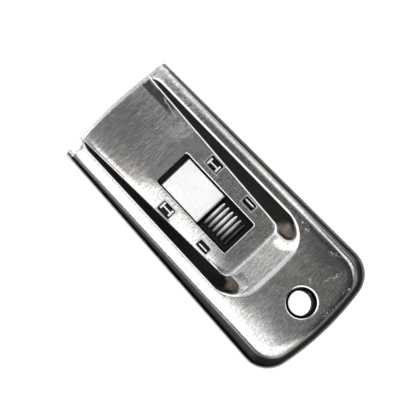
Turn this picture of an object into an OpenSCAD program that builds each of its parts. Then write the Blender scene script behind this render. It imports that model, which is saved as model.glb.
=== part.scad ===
// Pocket paint scraper with a retracting single-edge blade, pressed from stainless sheet.
// Millimetres. +Y points to the blade, +Z up out of the sunk panel, origin under the middle of the back.

/* [Housing] */
// Length of the housing from the front lip to the rear rim
housing_length = 99; // [97:0.5:103]
// Room beside the blade at the front, out to the rim's outside
side_room = 2.5; // [2.4:0.05:3.1]
// Width over the rim at the rear
rear_width = 50; // [47.5:0.5:52]
// Height of the flange where the recess starts
front_height = 5.1; // [4.8:0.1:5.4]
// Height of the level area round the hanging hole
rear_height = 8.4; // [7.8:0.1:9.2]
// Radius of the rim's rear corners, seen from above
corner_radius = 9.6; // [8:0.2:11]
// Radius of the bowed rear end
rear_bow = 97; // [80:1:140]
// Radius of the bowed front edge
front_bow = 147; // [120:1:200]
// Thickness of the shell's sheet
shell_sheet = 0.7; // [0.6:0.05:0.8]
// Thickness of the back plate's sheet
plate_sheet = 0.6; // [0.5:0.05:0.65]
// Height of the rim that the back plate turns up round the shell
rim_height = 1.6; // [1.2:0.1:2]

/* [Recess] */
// Height of the sunk panel's top face
panel_height = 3.8; // [3.75:0.05:4]
// Width of the panel at the front
panel_front_width = 29.2; // [28.6:0.2:29.6]
// Width of the panel at its rear corners
panel_rear_width = 23.5; // [23.3:0.1:24.5]
// Slope of the recess's side walls, in degrees
wall_slope = 36.3; // [35:0.1:40]
// Distance from the rear rim to the panel's rear edge
panel_from_rear = 33.5; // [33:0.1:35]
// Length of the ramp that rises from the panel to the flange
ramp_length = 9; // [8:0.2:9.6]

/* [Window and slots] */
// Width of the thumb window
window_width = 13.2; // [13:0.1:14]
// Distance from the front lip to the window
window_from_front = 27.6; // [27:0.1:28.2]
// Distance from the rear rim to the window
window_from_rear = 39.9; // [39.5:0.1:40.5]
// Width of the front pair of slots
front_slot_width = 3.5; // [3.3:0.1:3.6]
// Length of the front pair of slots
front_slot_length = 5.1; // [4.8:0.1:5.4]
// Width of the rear pair of slots
rear_slot_width = 2.4; // [2.2:0.1:2.8]
// Length of the rear pair of slots
rear_slot_length = 4.5; // [4.2:0.1:5]

/* [Hanging hole] */
// Diameter of the hanging hole
hole_diameter = 8; // [7:0.2:8.4]
// Distance from the rear rim to the hole's centre
hole_from_rear = 12.1; // [11.8:0.1:12.4]

/* [Blade and slide] */
// Width of the single-edge blade
blade_width = 38.1; // [37:0.1:38.3]
// Depth of the blade from its edge to the back of its spine
blade_depth = 19; // [18:0.5:19.5]
// Thickness of the blade
blade_thickness = 0.23; // [0.2:0.01:0.3]
// Distance from the front lip back to the drawn-in edge
edge_setback = 3; // [2.5:0.1:4]
// Distance that the slide travels
travel = 16.5; // [14:0.5:16.5]
// Thickness of the carriage's sheet
carriage_sheet = 0.5; // [0.4:0.05:0.55]
// Width of the thumb slide
thumb_width = 12.2; // [11:0.1:12.4]
// Number of ribs on the thumb rest
rib_count = 6; // [4:1:6]

/* [Hidden] */
$fn = 48;
eps = 0.01;
// How far a cut reaches past what it cuts
past = 1;

front_y = housing_length / 2;
rear_y = -front_y;
front_width = blade_width + 2 * side_room;

// Lines round the housing, seen from above. Each runs down one side, round a rear corner and along
// the bowed end: [half width at the front, widening per mm towards the rear, rear end, bow radius,
// corner radius, is it outside]
foot_gap = 0.1;
plate_setback = 0.3;
top_front_inset = 1.5;
top_rear_inset = 2.7;
top_widening = 0.0127;
rim_widening = (rear_width - front_width) / 2 / housing_length;
rim_line = [front_width / 2, rim_widening, rear_y, rear_bow, corner_radius, true];
foot_line = inset(rim_line, plate_sheet + foot_gap);
top_line = [
    front_width / 2 - top_front_inset, top_widening,
    rear_y + top_rear_inset, rear_bow - top_rear_inset, corner_radius - top_front_inset, true];

// Heights along the housing. The flange climbs in a straight line and levels out round the hole.
recess_setback = 5.1;
level_round_hole = 6.1;
recess_start_y = front_y - recess_setback;
level_y = rear_y + hole_from_rear + level_round_hole;
flange_rise = (rear_height - front_height) / (recess_start_y - level_y);
function flange_height(y) = min(rear_height, front_height + flange_rise * (recess_start_y - y));

// The recess gets deeper and wider towards the rear. It ends in two round tips just behind the rolled lip.
lip_radius = 1.45;
lip_turn = 78;
lip_start_y = front_y - lip_radius * sin(lip_turn);
tip_setback = 0.7;
tip_length = 4.2;
tip_y = lip_start_y - tip_setback;
runout_length = tip_setback + tip_length;
runout_left = 0.05;
function recess_left(y) =
    let (part = max(0, min(1, (y - tip_y + tip_length) / tip_length)))
    max(runout_left, sqrt(1 - part ^ 2));
panel_rear_y = rear_y + panel_from_rear;
panel_corner_length = 4.2;
panel_corner_y = panel_rear_y + panel_corner_length;
panel_corner_radius = 2.8;
recess_corner_radius = 8;
recess_bow = 150;
floor_slope = (panel_rear_width - panel_front_width) / 2 / (front_y - panel_corner_y);
floor_line = [panel_front_width / 2, floor_slope, panel_rear_y, recess_bow, panel_corner_radius, false];
function recess_half_width(y) =
    half_width(floor_line, y) + (flange_height(y) - panel_height) / tan(wall_slope);
recess_slope = (recess_half_width(panel_corner_y) - recess_half_width(recess_start_y))
    / (recess_start_y - panel_corner_y);
recess_front = recess_half_width(recess_start_y) - recess_slope * (front_y - recess_start_y);
recess_line = [
    recess_front, recess_slope, panel_rear_y - ramp_length, recess_bow, recess_corner_radius, false];
// The flange is crowned along its outer edge, over no more than most of its width
crown_drop = 0.35;
crown_full_width = 3.4;
crown_share = 0.9;
function flange_width(y) = half_width(top_line, y) - half_width(recess_line, y);
narrowest_flange = min(flange_width(recess_start_y), flange_width(panel_corner_y));
crown_width = min(crown_full_width, crown_share * narrowest_flange);
crown_steps = [crown_width / 3, crown_width * 2 / 3, crown_width];
level_row = 0.64;

// How far each bend of the sheet reaches from its corner: top edge, recess edge, panel edge
outer_reach = [1.3, 0.34, 0.25];
inner_reach = [0.8, 0.1, 0.5];
// How far the under skin's lines lie inside the top skin's, for each millimetre of sheet
foot_share = 1.03;
top_share = 0.77;

// Openings in the panel. The slots are set off from the window's corners.
window_y = rear_y + window_from_rear;
window_front_y = front_y - window_from_front;
window_length = window_front_y - window_y;
window_corner = 0.7;
slot_corner = 0.4;
front_slot_beside = 3.94;
front_slot_behind = 8.8;
rear_slot_beside = 3.43;
rear_slot_before = 6.1;
front_slot_at = [window_width / 2 + front_slot_beside, window_front_y - front_slot_behind];
rear_slot_at = [window_width / 2 + rear_slot_beside, window_y + rear_slot_before];
hole_y = rear_y + hole_from_rear;
hole_r = hole_diameter / 2;
collar_wall = 0.8;
collar_below_top = 0.2;
mouth_bend = 1.88;
mouth_height = 1.79;
bore_top = rear_height - mouth_height;

// Levels of the slide, from the back plate upward
panel_under = panel_height - shell_sheet;
carriage_top = plate_sheet + carriage_sheet;
spine_thickness = 1;
spine_depth = 5;
spine_fold = 0.4;
edge_bevel = 1.1;
edge_half = 0.015;
blade_in_spine = spine_depth - spine_fold;
blade_z = carriage_top + spine_thickness / 2;
edge_y = front_y - edge_setback;
spine_rear_y = edge_y - blade_depth;
spine_front_y = spine_rear_y + spine_depth;
slide_gap = 0.1;
lift_gap = 0.05;

// Rails that guide the carriage's tail. They stand in the middle of the slots and reach past them.
rail_sheet = 0.5;
rail_x = (front_slot_at.x + rear_slot_at.x) / 2 - rail_sheet / 2;
rail_lip = 1.4;
rail_past_slots = 2.4;
rail_rear_y = rear_slot_at.y - rear_slot_length / 2 - rail_past_slots;
rail_front_y = front_slot_at.y + front_slot_length / 2 + rail_past_slots;
tab_below_top = 0.05;
shoulder = 0.7;
front_tab_gap = 0.4;
rear_tab_gap = 0.5;
bar_width = 2.4;
bar_length = 0.7;
bar_height = 0.55;
bar_from_end = 0.75;

// Thumb slide, whose pad lies at the front of the window and whose rest lies at the rear
thumb_sheet = 0.6;
pad_gap = 0.3;
pad_top = panel_under - pad_gap;
pad_front_gap = 1.9;
pad_front_y = window_front_y - pad_front_gap;
thumb_rear_gap = 0.4;
thumb_rear_y = window_y + thumb_rear_gap;
rest_length = 13;
pad_rear_y = thumb_rear_y + rest_length;
step_length = 1.2;
thumb_tab_x = 3.2;
thumb_tab_width = 2;
thumb_rear_tab_inset = 0.3;
rib_pitch = 1.85;
rib_setback = 1.7;
rib_half_length = 4.8;
rib_rise = 0.85;
rib_sink = 0.15;

// Carriage, whose tail runs between the rails and reaches back behind the thumb slide
tail_half = rail_x - slide_gap;
tail_behind_thumb = 4.8;
tail_rear_y = thumb_rear_y - tail_behind_thumb;
platform_behind_spine = 2;
platform_before_spine = 3;
platform_rear_y = spine_rear_y - platform_behind_spine;
platform_front_y = spine_front_y + platform_before_spine;
side_stop_gap = 0.05;
side_stop_sheet = 0.35;
side_stop_x = blade_width / 2 + side_stop_gap;
pip_x = 11;
pip_r = 1.1;
pip_gap = 0.1;
lug_width = 4;

// Leaf spring that clicks into two dimples
spring_sheet = 0.25;
spring_half = 2.5;
spring_foot_r = 0.6;
foot_clear = 0.03;
rivet_from_tail_end = 1.8;
spring_before_rivet = 2;
spring_arm = 11.8;
rivet_y = tail_rear_y + rivet_from_tail_end;
spring_front_y = rivet_y + spring_before_rivet;
spring_foot_y = rivet_y - spring_arm;
rivet_r = 1;
rivet_head_r = 1.8;
rivet_head_rise = 0.45;
dimple_r = 1.3;
dimple_depth = 0.25;

// The same line, moved inward
function inset(line, by) =
    [line[0] - by * sqrt(1 + line[1] ^ 2), line[1], line[2] + by, line[3] - by, line[4] - by, line[5]];

function half_width(line, y) = line[0] + line[1] * (front_y - y);

// Centre of the rear corner's arc, which touches both the straight side and the bowed end
function corner_centre(line) =
    let (k = sqrt(1 + line[1] ^ 2))
    let (m = line[0] + line[1] * front_y - line[4] * k)
    let (q = line[2] + line[3])
    let (a = 1 + line[1] ^ 2)
    let (b = m * line[1] + q)
    let (c = m ^ 2 + q ^ 2 - (line[3] - line[4]) ^ 2)
    let (y = (b - sqrt(b ^ 2 - a * c)) / a)
    [m - line[1] * y, y];

// Stations along the right half of a line: lip, run-out, straight side, turn, corner, rear end.
// In the turn an outside line still runs straight, while a recess line is in the first half of its corner.
lip_steps = 5;
runout_steps = 9;
side_steps = 3;
turn_steps = 4;
corner_steps = 7;
end_steps = 5;
lip_last = lip_steps;
runout_last = lip_last + runout_steps;
side_last = runout_last + side_steps;
turn_last = side_last + turn_steps;
corner_last = turn_last + corner_steps;
station_last = corner_last + end_steps;
runout_y = lip_start_y - runout_length;

function lip_angle(i) = i >= lip_last ? 0 : lip_turn * (1 - i / lip_steps);
function side_angle(line) = atan(line[1]);
function tangent_y(line) = corner_centre(line).y + line[4] * sin(side_angle(line));
function on_side(line, y) = [half_width(line, y), y];
function on_corner(line, part) =
    let (centre = corner_centre(line))
    let (end_angle = atan2(centre.y - line[2] - line[3], centre.x))
    let (angle = side_angle(line) + (end_angle - side_angle(line)) * part)
    centre + line[4] * [cos(angle), sin(angle)];
function on_end(line, part) =
    let (centre = corner_centre(line))
    let (end_angle = atan2(centre.y - line[2] - line[3], centre.x))
    let (angle = end_angle + (-90 - end_angle) * part)
    part == 1 ? [0, line[2]] : [0, line[2] + line[3]] + line[3] * [cos(angle), sin(angle)];

function station(line, i) =
    let (side_end = line[5] ? tangent_y(recess_line) : tangent_y(line))
    let (turn = (i - side_last) / turn_steps)
    let (corner = (i - turn_last) / corner_steps)
    i <= lip_last ? on_side(line, lip_start_y)
    : i <= runout_last ? on_side(line, lip_start_y - runout_length * (i - lip_last) / runout_steps)
    : i <= side_last ? on_side(line, runout_y + (side_end - runout_y) * (i - runout_last) / side_steps)
    : i <= turn_last ?
        (line[5] ? on_side(line, side_end + (tangent_y(line) - side_end) * turn) : on_corner(line, turn / 2))
    : i <= corner_last ? on_corner(line, line[5] ? corner : 0.5 + corner / 2)
    : on_end(line, (i - corner_last) / end_steps);

function unit(v) = norm(v) < eps / 100 ? v * 0 : v / norm(v);
function raise(p, z) = [p.x, p.y, z];

// A rounded bend from a to c past b, as a short curve
bend_steps = 4;
function bend(a, b, c, reach) =
    let (p = b + unit(a - b) * min(reach, 0.45 * norm(a - b)))
    let (q = b + unit(c - b) * min(reach, 0.45 * norm(c - b)))
    [for (n = [0 : bend_steps]) let (s = n / bend_steps) (1 - s) ^ 2 * p + 2 * s * (1 - s) * b + s ^ 2 * q];

// Height of the flange, falling to the panel's height where the recess runs out
function skin_height(y) = panel_height + (flange_height(y) - panel_height) * recess_left(y);

// One skin's section at a station, from the foot over the flange to the panel's edge.
// sink is how far the skin lies under the top face, lines are its foot, top, recess and floor lines.
function section(i, lines, sink, reach) =
    let (foot = station(lines[0], i), top = station(lines[1], i))
    let (floor_edge = station(lines[3], i))
    let (full_edge = station(lines[2], i))
    let (left = i <= runout_last ? recess_left(floor_edge.y) : 1)
    let (edge = floor_edge + (full_edge - floor_edge) * left)
    let (top_point = raise(top, skin_height(top.y) - crown_drop - sink))
    let (crown = [for (d = crown_steps) let (p = station(inset(lines[1], d), i))
        raise(p, skin_height(p.y) - crown_drop * (1 - d / crown_width) ^ 2 - sink)])
    let (crown_end = station(inset(lines[1], crown_width), i))
    let (level = crown_end + (edge - crown_end) * level_row)
    let (level_point = raise(level, skin_height(level.y) - sink))
    let (edge_point = raise(edge, skin_height(edge.y) - sink))
    let (floor_point = raise(floor_edge, panel_height - sink))
    let (floor_inside = floor_point + raise(unit(floor_edge - full_edge), 0))
    concat(
        [raise(foot, plate_sheet)],
        bend(raise(foot, plate_sheet), top_point, crown[0], reach[0]),
        crown,
        [level_point],
        bend(level_point, edge_point, floor_point, reach[1]),
        bend(edge_point, floor_point, floor_inside, reach[2]));

// Rolls the lip down and bows the front edge
bow_length = 8;
function bow_share(y) = let (s = max(0, min(1, (y - front_y + bow_length) / bow_length))) s * s * (3 - 2 * s);
function rolled(p, i, radius, sink) =
    let (turn = lip_angle(i))
    let (share = max(0, min(1, (p.z - plate_sheet) / (panel_height - sink - plate_sheet))))
    let (y = p.y + radius * sin(turn))
    [p.x, y - p.x ^ 2 / 2 / front_bow * bow_share(y), p.z - radius * (1 - cos(turn)) * share];

function mirrored(p) = [-p.x, p.y, p.z];

// All sections of one skin, from front right round the rear to front left
function skin(lines, sink, reach, radius) =
    let (right = [for (i = [0 : station_last])
        [for (p = section(i, lines, sink, reach)) rolled(p, i, radius, sink)]])
    concat(right, [for (i = [station_last - 1 : -1 : 0]) [for (p = right[i]) mirrored(p)]]);

// Panel points between its two edges, where the front edge is bowed
panel_columns = 8;
function panel_rows(lines, sink, radius) =
    [for (i = [0 : runout_last])
        let (edge = station(lines[3], i))
        [for (j = [1 : panel_columns - 1])
            rolled([edge.x * (1 - 2 * j / panel_columns), edge.y, panel_height - sink], i, radius, sink)]];

// The pressed sheet as one solid: a top skin, an under skin and the edges between them
module pressed_sheet() {
    half_bend = tan(wall_slope / 2);
    outer_lines = [foot_line, top_line, recess_line, floor_line];
    inner_lines = [
        inset(foot_line, shell_sheet * foot_share),
        inset(top_line, shell_sheet * top_share),
        inset(recess_line, -shell_sheet * half_bend),
        inset(floor_line, -shell_sheet * half_bend)];
    outer = skin(outer_lines, 0, outer_reach, lip_radius);
    inner = skin(inner_lines, shell_sheet, inner_reach, lip_radius - shell_sheet);
    outer_panel = panel_rows(outer_lines, 0, lip_radius);
    inner_panel = panel_rows(inner_lines, shell_sheet, lip_radius - shell_sheet);

    rows = len(outer);
    width = len(outer[0]);
    last = width - 1;
    between = panel_columns - 1;
    skin_size = rows * width;
    panel_start = 2 * skin_size;
    panel_size = (runout_last + 1) * between;
    function at(under, s, k) = under * skin_size + s * width + k;
    // Column 0 is the right panel edge and the last column is the left one
    function on_panel(under, i, j) =
        j == 0 ? at(under, i, last)
        : j == panel_columns ? at(under, rows - 1 - i, last)
        : panel_start + under * panel_size + i * between + j - 1;
    function flat(lists) = [for (list = lists) for (p = list) p];
    function quad(a, b, c, d) = [[a, c, b], [a, d, c]];

    skin_faces = [for (s = [0 : rows - 2]) for (k = [0 : last - 1]) each concat(
        quad(at(0, s, k), at(0, s, k + 1), at(0, s + 1, k + 1), at(0, s + 1, k)),
        quad(at(1, s, k), at(1, s + 1, k), at(1, s + 1, k + 1), at(1, s, k + 1)))];
    foot_faces = [for (s = [0 : rows - 2])
        each quad(at(0, s, 0), at(0, s + 1, 0), at(1, s + 1, 0), at(1, s, 0))];
    mouth_faces = [for (k = [0 : last - 1]) each concat(
        quad(at(0, 0, k), at(1, 0, k), at(1, 0, k + 1), at(0, 0, k + 1)),
        quad(at(0, rows - 1, k), at(0, rows - 1, k + 1), at(1, rows - 1, k + 1), at(1, rows - 1, k)))];
    lip_faces = [for (j = [0 : panel_columns - 1])
        each quad(on_panel(0, 0, j), on_panel(1, 0, j), on_panel(1, 0, j + 1), on_panel(0, 0, j + 1))];
    panel_faces = [for (i = [0 : runout_last - 1]) for (j = [0 : panel_columns - 1]) each concat(
        quad(on_panel(0, i, j), on_panel(0, i, j + 1), on_panel(0, i + 1, j + 1), on_panel(0, i + 1, j)),
        quad(on_panel(1, i, j), on_panel(1, i + 1, j), on_panel(1, i + 1, j + 1), on_panel(1, i, j + 1)))];
    // The flat rear part of the panel fans out from the middle of its rear edge
    rear_ring = concat(
        [for (s = [station_last + 1 : rows - 1 - runout_last]) [s, last]],
        [for (j = [panel_columns - 1 : -1 : 0]) [-1, j]],
        [for (s = [runout_last + 1 : station_last - 1]) [s, last]]);
    function ring_at(under, n) =
        rear_ring[n][0] < 0
            ? on_panel(under, runout_last, rear_ring[n][1])
            : at(under, rear_ring[n][0], last);
    fan_faces = [for (n = [0 : len(rear_ring) - 2]) each [
        [at(0, station_last, last), ring_at(0, n), ring_at(0, n + 1)],
        [at(1, station_last, last), ring_at(1, n + 1), ring_at(1, n)]]];

    polyhedron(
        points = concat(flat(outer), flat(inner), flat(outer_panel), flat(inner_panel)),
        faces = concat(skin_faces, foot_faces, mouth_faces, lip_faces, panel_faces, fan_faces),
        convexity = 8);
}

module rounded_rectangle(width, length, radius) {
    square([width - 2 * radius, length], center = true);
    square([width, length - 2 * radius], center = true);
    for (x = [-1, 1]) for (y = [-1, 1])
        translate([x * (width / 2 - radius), y * (length / 2 - radius)]) circle(radius);
}

module panel_cut(x, y, width, length, radius) {
    translate([x, y, panel_under - past]) linear_extrude(shell_sheet + 2 * past)
        rounded_rectangle(width, length, radius);
}

// The bore of the hanging hole and the rounded mouth above it
module hanging_bore() {
    translate([0, hole_y, 0]) rotate_extrude() {
        square([hole_r, rear_height + past]);
        difference() {
            translate([0, bore_top]) square([hole_r + mouth_bend, mouth_height + eps]);
            translate([hole_r + mouth_bend, bore_top]) circle(mouth_bend);
        }
    }
}

module front_shell() {
    color("silver") difference() {
        union() {
            pressed_sheet();
            translate([0, hole_y, plate_sheet])
                cylinder(h = rear_height - plate_sheet - collar_below_top, r = hole_r + collar_wall);
        }
        hanging_bore();
        panel_cut(0, window_y + window_length / 2, window_width, window_length, window_corner);
        for (side = [-1, 1]) {
            panel_cut(side * front_slot_at.x, front_slot_at.y, front_slot_width, front_slot_length,
                      slot_corner);
            panel_cut(side * rear_slot_at.x, rear_slot_at.y, rear_slot_width, rear_slot_length,
                      slot_corner);
        }
    }
}

// The area inside a line, cut off along the bowed front edge
module plan(line, front) {
    right = [for (i = [lip_last : station_last]) station(line, i)];
    left = [for (i = [station_last - 1 : -1 : lip_last]) [-station(line, i).x, station(line, i).y]];
    ahead = front_y + past;
    corner = [half_width(line, ahead), ahead];
    intersection() {
        polygon(concat([corner], right, left, [[-corner.x, corner.y]]));
        translate([0, front - front_bow]) circle(front_bow, $fn = 400);
    }
}

module back_plate() {
    color("silver") difference() {
        linear_extrude(rim_height) plan(rim_line, front_y - plate_setback);
        translate([0, 0, plate_sheet]) linear_extrude(rim_height)
            plan(inset(rim_line, plate_sheet), front_y + past);
        translate([0, hole_y, -past]) cylinder(h = plate_sheet + 2 * past, r = hole_r);
        for (y = [spring_foot_y, spring_foot_y + travel])
            translate([0, y, plate_sheet - dimple_depth]) cylinder(h = past, r = dimple_r);
    }
}

// One guide rail for the right side. Its shoulders bear on the panel and its tabs go up through the slots.
module rail() {
    tab_top = panel_height - tab_below_top;
    lip_bottom = carriage_top + lift_gap;
    module riser(y, length, head_gap) {
        tab_length = length - 2 * head_gap;
        translate([rail_x, y - length / 2 - shoulder, plate_sheet])
            cube([rail_sheet, length + 2 * shoulder, panel_under - plate_sheet]);
        translate([rail_x, y - tab_length / 2, plate_sheet])
            cube([rail_sheet, tab_length, tab_top - plate_sheet]);
    }
    translate([rail_x, rail_rear_y, plate_sheet])
        cube([rail_sheet, rail_front_y - rail_rear_y, lip_bottom + rail_sheet - plate_sheet]);
    translate([rail_x - rail_lip, rail_rear_y, lip_bottom])
        cube([rail_lip + rail_sheet, rail_front_y - rail_rear_y, rail_sheet]);
    riser(front_slot_at.y, front_slot_length, front_tab_gap);
    riser(rear_slot_at.y, rear_slot_length, rear_tab_gap);
    // Staked ends of the front tab, spread across the slot
    for (end = [-1, 1])
        translate([rail_x + rail_sheet / 2 - bar_width / 2,
                   front_slot_at.y + end * (front_slot_length / 2 - bar_from_end) - bar_length / 2,
                   tab_top - bar_height])
            cube([bar_width, bar_length, bar_height]);
}

module right_rail() {
    color("gainsboro") rail();
}

module left_rail() {
    color("gainsboro") mirror([1, 0, 0]) rail();
}

// Slots in the carriage and the tabs that fill them are drawn by the same module
module thumb_tabs() {
    for (side = [-1, 1]) for (y = [pad_front_y - thumb_sheet, thumb_rear_y + thumb_rear_tab_inset])
        translate([side * thumb_tab_x - thumb_tab_width / 2, y, plate_sheet])
            cube([thumb_tab_width, thumb_sheet, carriage_sheet + eps]);
}

// One rib of the thumb rest: a spindle that lies across the slide
module rib() {
    rib_arc = (rib_half_length ^ 2 + rib_rise ^ 2) / 2 / rib_rise;
    rotate([0, 90, 0]) rotate_extrude() intersection() {
        translate([rib_rise - rib_arc, 0]) circle(rib_arc, $fn = 200);
        translate([0, -rib_half_length]) square([rib_rise, 2 * rib_half_length]);
    }
}

module thumb_slide() {
    rest_top = carriage_top + thumb_sheet;
    strip = [
        [pad_front_y, carriage_top], [pad_front_y, pad_top], [pad_rear_y, pad_top],
        [pad_rear_y - step_length, rest_top], [thumb_rear_y, rest_top], [thumb_rear_y, carriage_top],
        [pad_rear_y - step_length + thumb_sheet, carriage_top],
        [pad_rear_y + thumb_sheet / 2, pad_top - thumb_sheet],
        [pad_front_y - thumb_sheet, pad_top - thumb_sheet], [pad_front_y - thumb_sheet, carriage_top]];
    color("whitesmoke") {
        rotate([90, 0, 90]) translate([0, 0, -thumb_width / 2]) linear_extrude(thumb_width) polygon(strip);
        thumb_tabs();
        difference() {
            for (n = [0 : rib_count - 1])
                translate([0, thumb_rear_y + rib_setback + n * rib_pitch, rest_top - rib_sink]) rib();
            translate([-thumb_width / 2, thumb_rear_y, rest_top - thumb_sheet / 2 - 2 * rib_rise])
                cube([thumb_width, rest_length, 2 * rib_rise]);
        }
    }
}

module rivet_hole() {
    translate([0, rivet_y, 0]) cylinder(h = carriage_top + spring_sheet + past, r = rivet_r);
}

module blade_carriage() {
    stop_rise = spine_thickness;
    pip_y = spine_front_y + pip_r + pip_gap;
    tail_length = platform_rear_y - tail_rear_y;
    platform_length = platform_front_y - platform_rear_y;
    color("silver") difference() {
        union() {
            translate([-tail_half, tail_rear_y, plate_sheet])
                cube([2 * tail_half, tail_length + past, carriage_sheet]);
            translate([-side_stop_x, platform_rear_y, plate_sheet])
                cube([2 * side_stop_x, platform_length, carriage_sheet]);
            for (side = [-1, 1]) {
                // Lips, pressed thin, that keep the blade from moving sideways
                translate([side * (side_stop_x + side_stop_sheet / 2) - side_stop_sheet / 2, spine_rear_y,
                           plate_sheet])
                    cube([side_stop_sheet, spine_depth, carriage_sheet + stop_rise]);
                // Lugs that the spine pushes against
                translate([side * pip_x - lug_width / 2, spine_rear_y - carriage_sheet, plate_sheet])
                    cube([lug_width, carriage_sheet, carriage_sheet + stop_rise]);
                // Pips that keep the spine from sliding forward
                translate([side * pip_x, pip_y, plate_sheet])
                    cylinder(h = blade_z - blade_thickness / 2 - plate_sheet, r = pip_r);
            }
        }
        thumb_tabs();
        rivet_hole();
    }
}

module razor_blade() {
    half = blade_thickness / 2;
    profile = [
        [spine_front_y - blade_in_spine, -half], [edge_y - edge_bevel, -half], [edge_y, -edge_half],
        [edge_y, edge_half], [edge_y - edge_bevel, half], [spine_front_y - blade_in_spine, half]];
    color("lightgray") translate([0, 0, blade_z]) rotate([90, 0, 90])
        translate([0, 0, -blade_width / 2]) linear_extrude(blade_width) polygon(profile);
}

// A strip folded over the blade's rear edge
module blade_spine() {
    half = spine_thickness / 2;
    color("gray") translate([0, 0, blade_z]) rotate([90, 0, 90])
        translate([0, 0, -blade_width / 2]) linear_extrude(blade_width) difference() {
            union() {
                translate([spine_rear_y + half, 0]) circle(half);
                translate([spine_rear_y + half, -half]) square([spine_depth - half, spine_thickness]);
            }
            translate([spine_front_y - blade_in_spine, -blade_thickness / 2])
                square([spine_depth, blade_thickness]);
        }
}

module detent_spring() {
    foot_centre = plate_sheet + foot_clear + spring_foot_r;
    arm_end_y = spring_foot_y + spring_foot_r - spring_sheet;
    color("dimgray") difference() {
        rotate([90, 0, 90]) translate([0, 0, -spring_half]) linear_extrude(2 * spring_half) {
            translate([arm_end_y, carriage_top]) square([spring_front_y - arm_end_y, spring_sheet]);
            difference() {
                translate([spring_foot_y, foot_centre]) circle(spring_foot_r);
                translate([spring_foot_y, foot_centre]) circle(spring_foot_r - spring_sheet);
                translate([spring_foot_y - spring_foot_r - past, foot_centre])
                    square([2 * spring_foot_r + 2 * past, spring_foot_r + past]);
            }
        }
        rivet_hole();
    }
}

module spring_rivet() {
    seat = carriage_top + spring_sheet;
    head_arc = (rivet_head_r ^ 2 + rivet_head_rise ^ 2) / 2 / rivet_head_rise;
    color("darkgray") translate([0, rivet_y, 0]) {
        translate([0, 0, plate_sheet]) cylinder(h = seat - plate_sheet + eps, r = rivet_r);
        translate([0, 0, seat]) rotate_extrude() intersection() {
            translate([0, rivet_head_rise - head_arc]) circle(head_arc, $fn = 120);
            square([rivet_head_r, rivet_head_rise]);
        }
    }
}

front_shell();
back_plate();
left_rail();
right_rail();
thumb_slide();
blade_carriage();
razor_blade();
blade_spine();
detent_spring();
spring_rivet();
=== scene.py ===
import functools
import math

import bmesh
import bpy
from mathutils import Matrix, Vector
from mathutils.geometry import delaunay_2d_cdt


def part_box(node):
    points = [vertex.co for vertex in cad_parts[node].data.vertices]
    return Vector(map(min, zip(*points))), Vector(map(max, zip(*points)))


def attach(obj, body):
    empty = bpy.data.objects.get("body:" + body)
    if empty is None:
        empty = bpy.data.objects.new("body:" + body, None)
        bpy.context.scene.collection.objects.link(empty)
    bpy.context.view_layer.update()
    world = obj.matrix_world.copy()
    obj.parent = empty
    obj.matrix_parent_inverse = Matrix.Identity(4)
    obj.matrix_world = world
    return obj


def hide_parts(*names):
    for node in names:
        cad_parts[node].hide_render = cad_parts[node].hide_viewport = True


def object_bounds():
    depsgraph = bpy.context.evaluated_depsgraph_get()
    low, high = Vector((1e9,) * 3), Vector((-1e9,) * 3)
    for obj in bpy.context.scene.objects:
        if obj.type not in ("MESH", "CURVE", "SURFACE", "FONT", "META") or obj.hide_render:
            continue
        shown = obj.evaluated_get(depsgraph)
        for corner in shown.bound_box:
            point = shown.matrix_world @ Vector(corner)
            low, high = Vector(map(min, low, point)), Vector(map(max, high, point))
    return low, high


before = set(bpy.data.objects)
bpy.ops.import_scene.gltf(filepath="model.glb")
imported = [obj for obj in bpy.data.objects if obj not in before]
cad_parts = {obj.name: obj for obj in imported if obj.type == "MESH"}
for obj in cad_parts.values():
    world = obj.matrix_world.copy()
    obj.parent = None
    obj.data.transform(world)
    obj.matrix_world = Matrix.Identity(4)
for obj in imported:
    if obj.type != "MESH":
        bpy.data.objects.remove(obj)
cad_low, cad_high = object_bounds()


# Back plate
# The flat tray that closes the back, blanked from thin stainless sheet and brushed across.
# Its rim is turned up and rolled tight round the foot of the front shell, and it is open at the mouth.

# Lengths are in mm, apart from the studio's
MM = 0.001
FRONT_Y = cad_high.y / MM
REAR_Y = cad_low.y / MM
FRONT_HALF = 21.54
REAR_HALF = 24.99
REAR_BOW = 97
FRONT_BOW = 147
CORNER_RADIUS = 9.6
PLATE_SHEET = 0.6
PLATE_ROUND = 0.22
RIM_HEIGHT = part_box("back_plate")[1].z / MM
PLATE_SETBACK = 0.3
HOLE_Y = -37.4
HOLE_RADIUS = 4
DIMPLES_Y = (-24, -7.5)
DIMPLE_RADIUS = 1.3
DIMPLE_DEPTH = 0.25
SHARP_ANGLE = math.radians(42)
# Where the tray's floor is painted dark as shade, and its dark colour
SHADE_HALF = 19
SHADE_REAR_Y = REAR_Y + 4.5
TRAY_SHADE = (0.03, 0.027, 0.024, 1)


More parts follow.
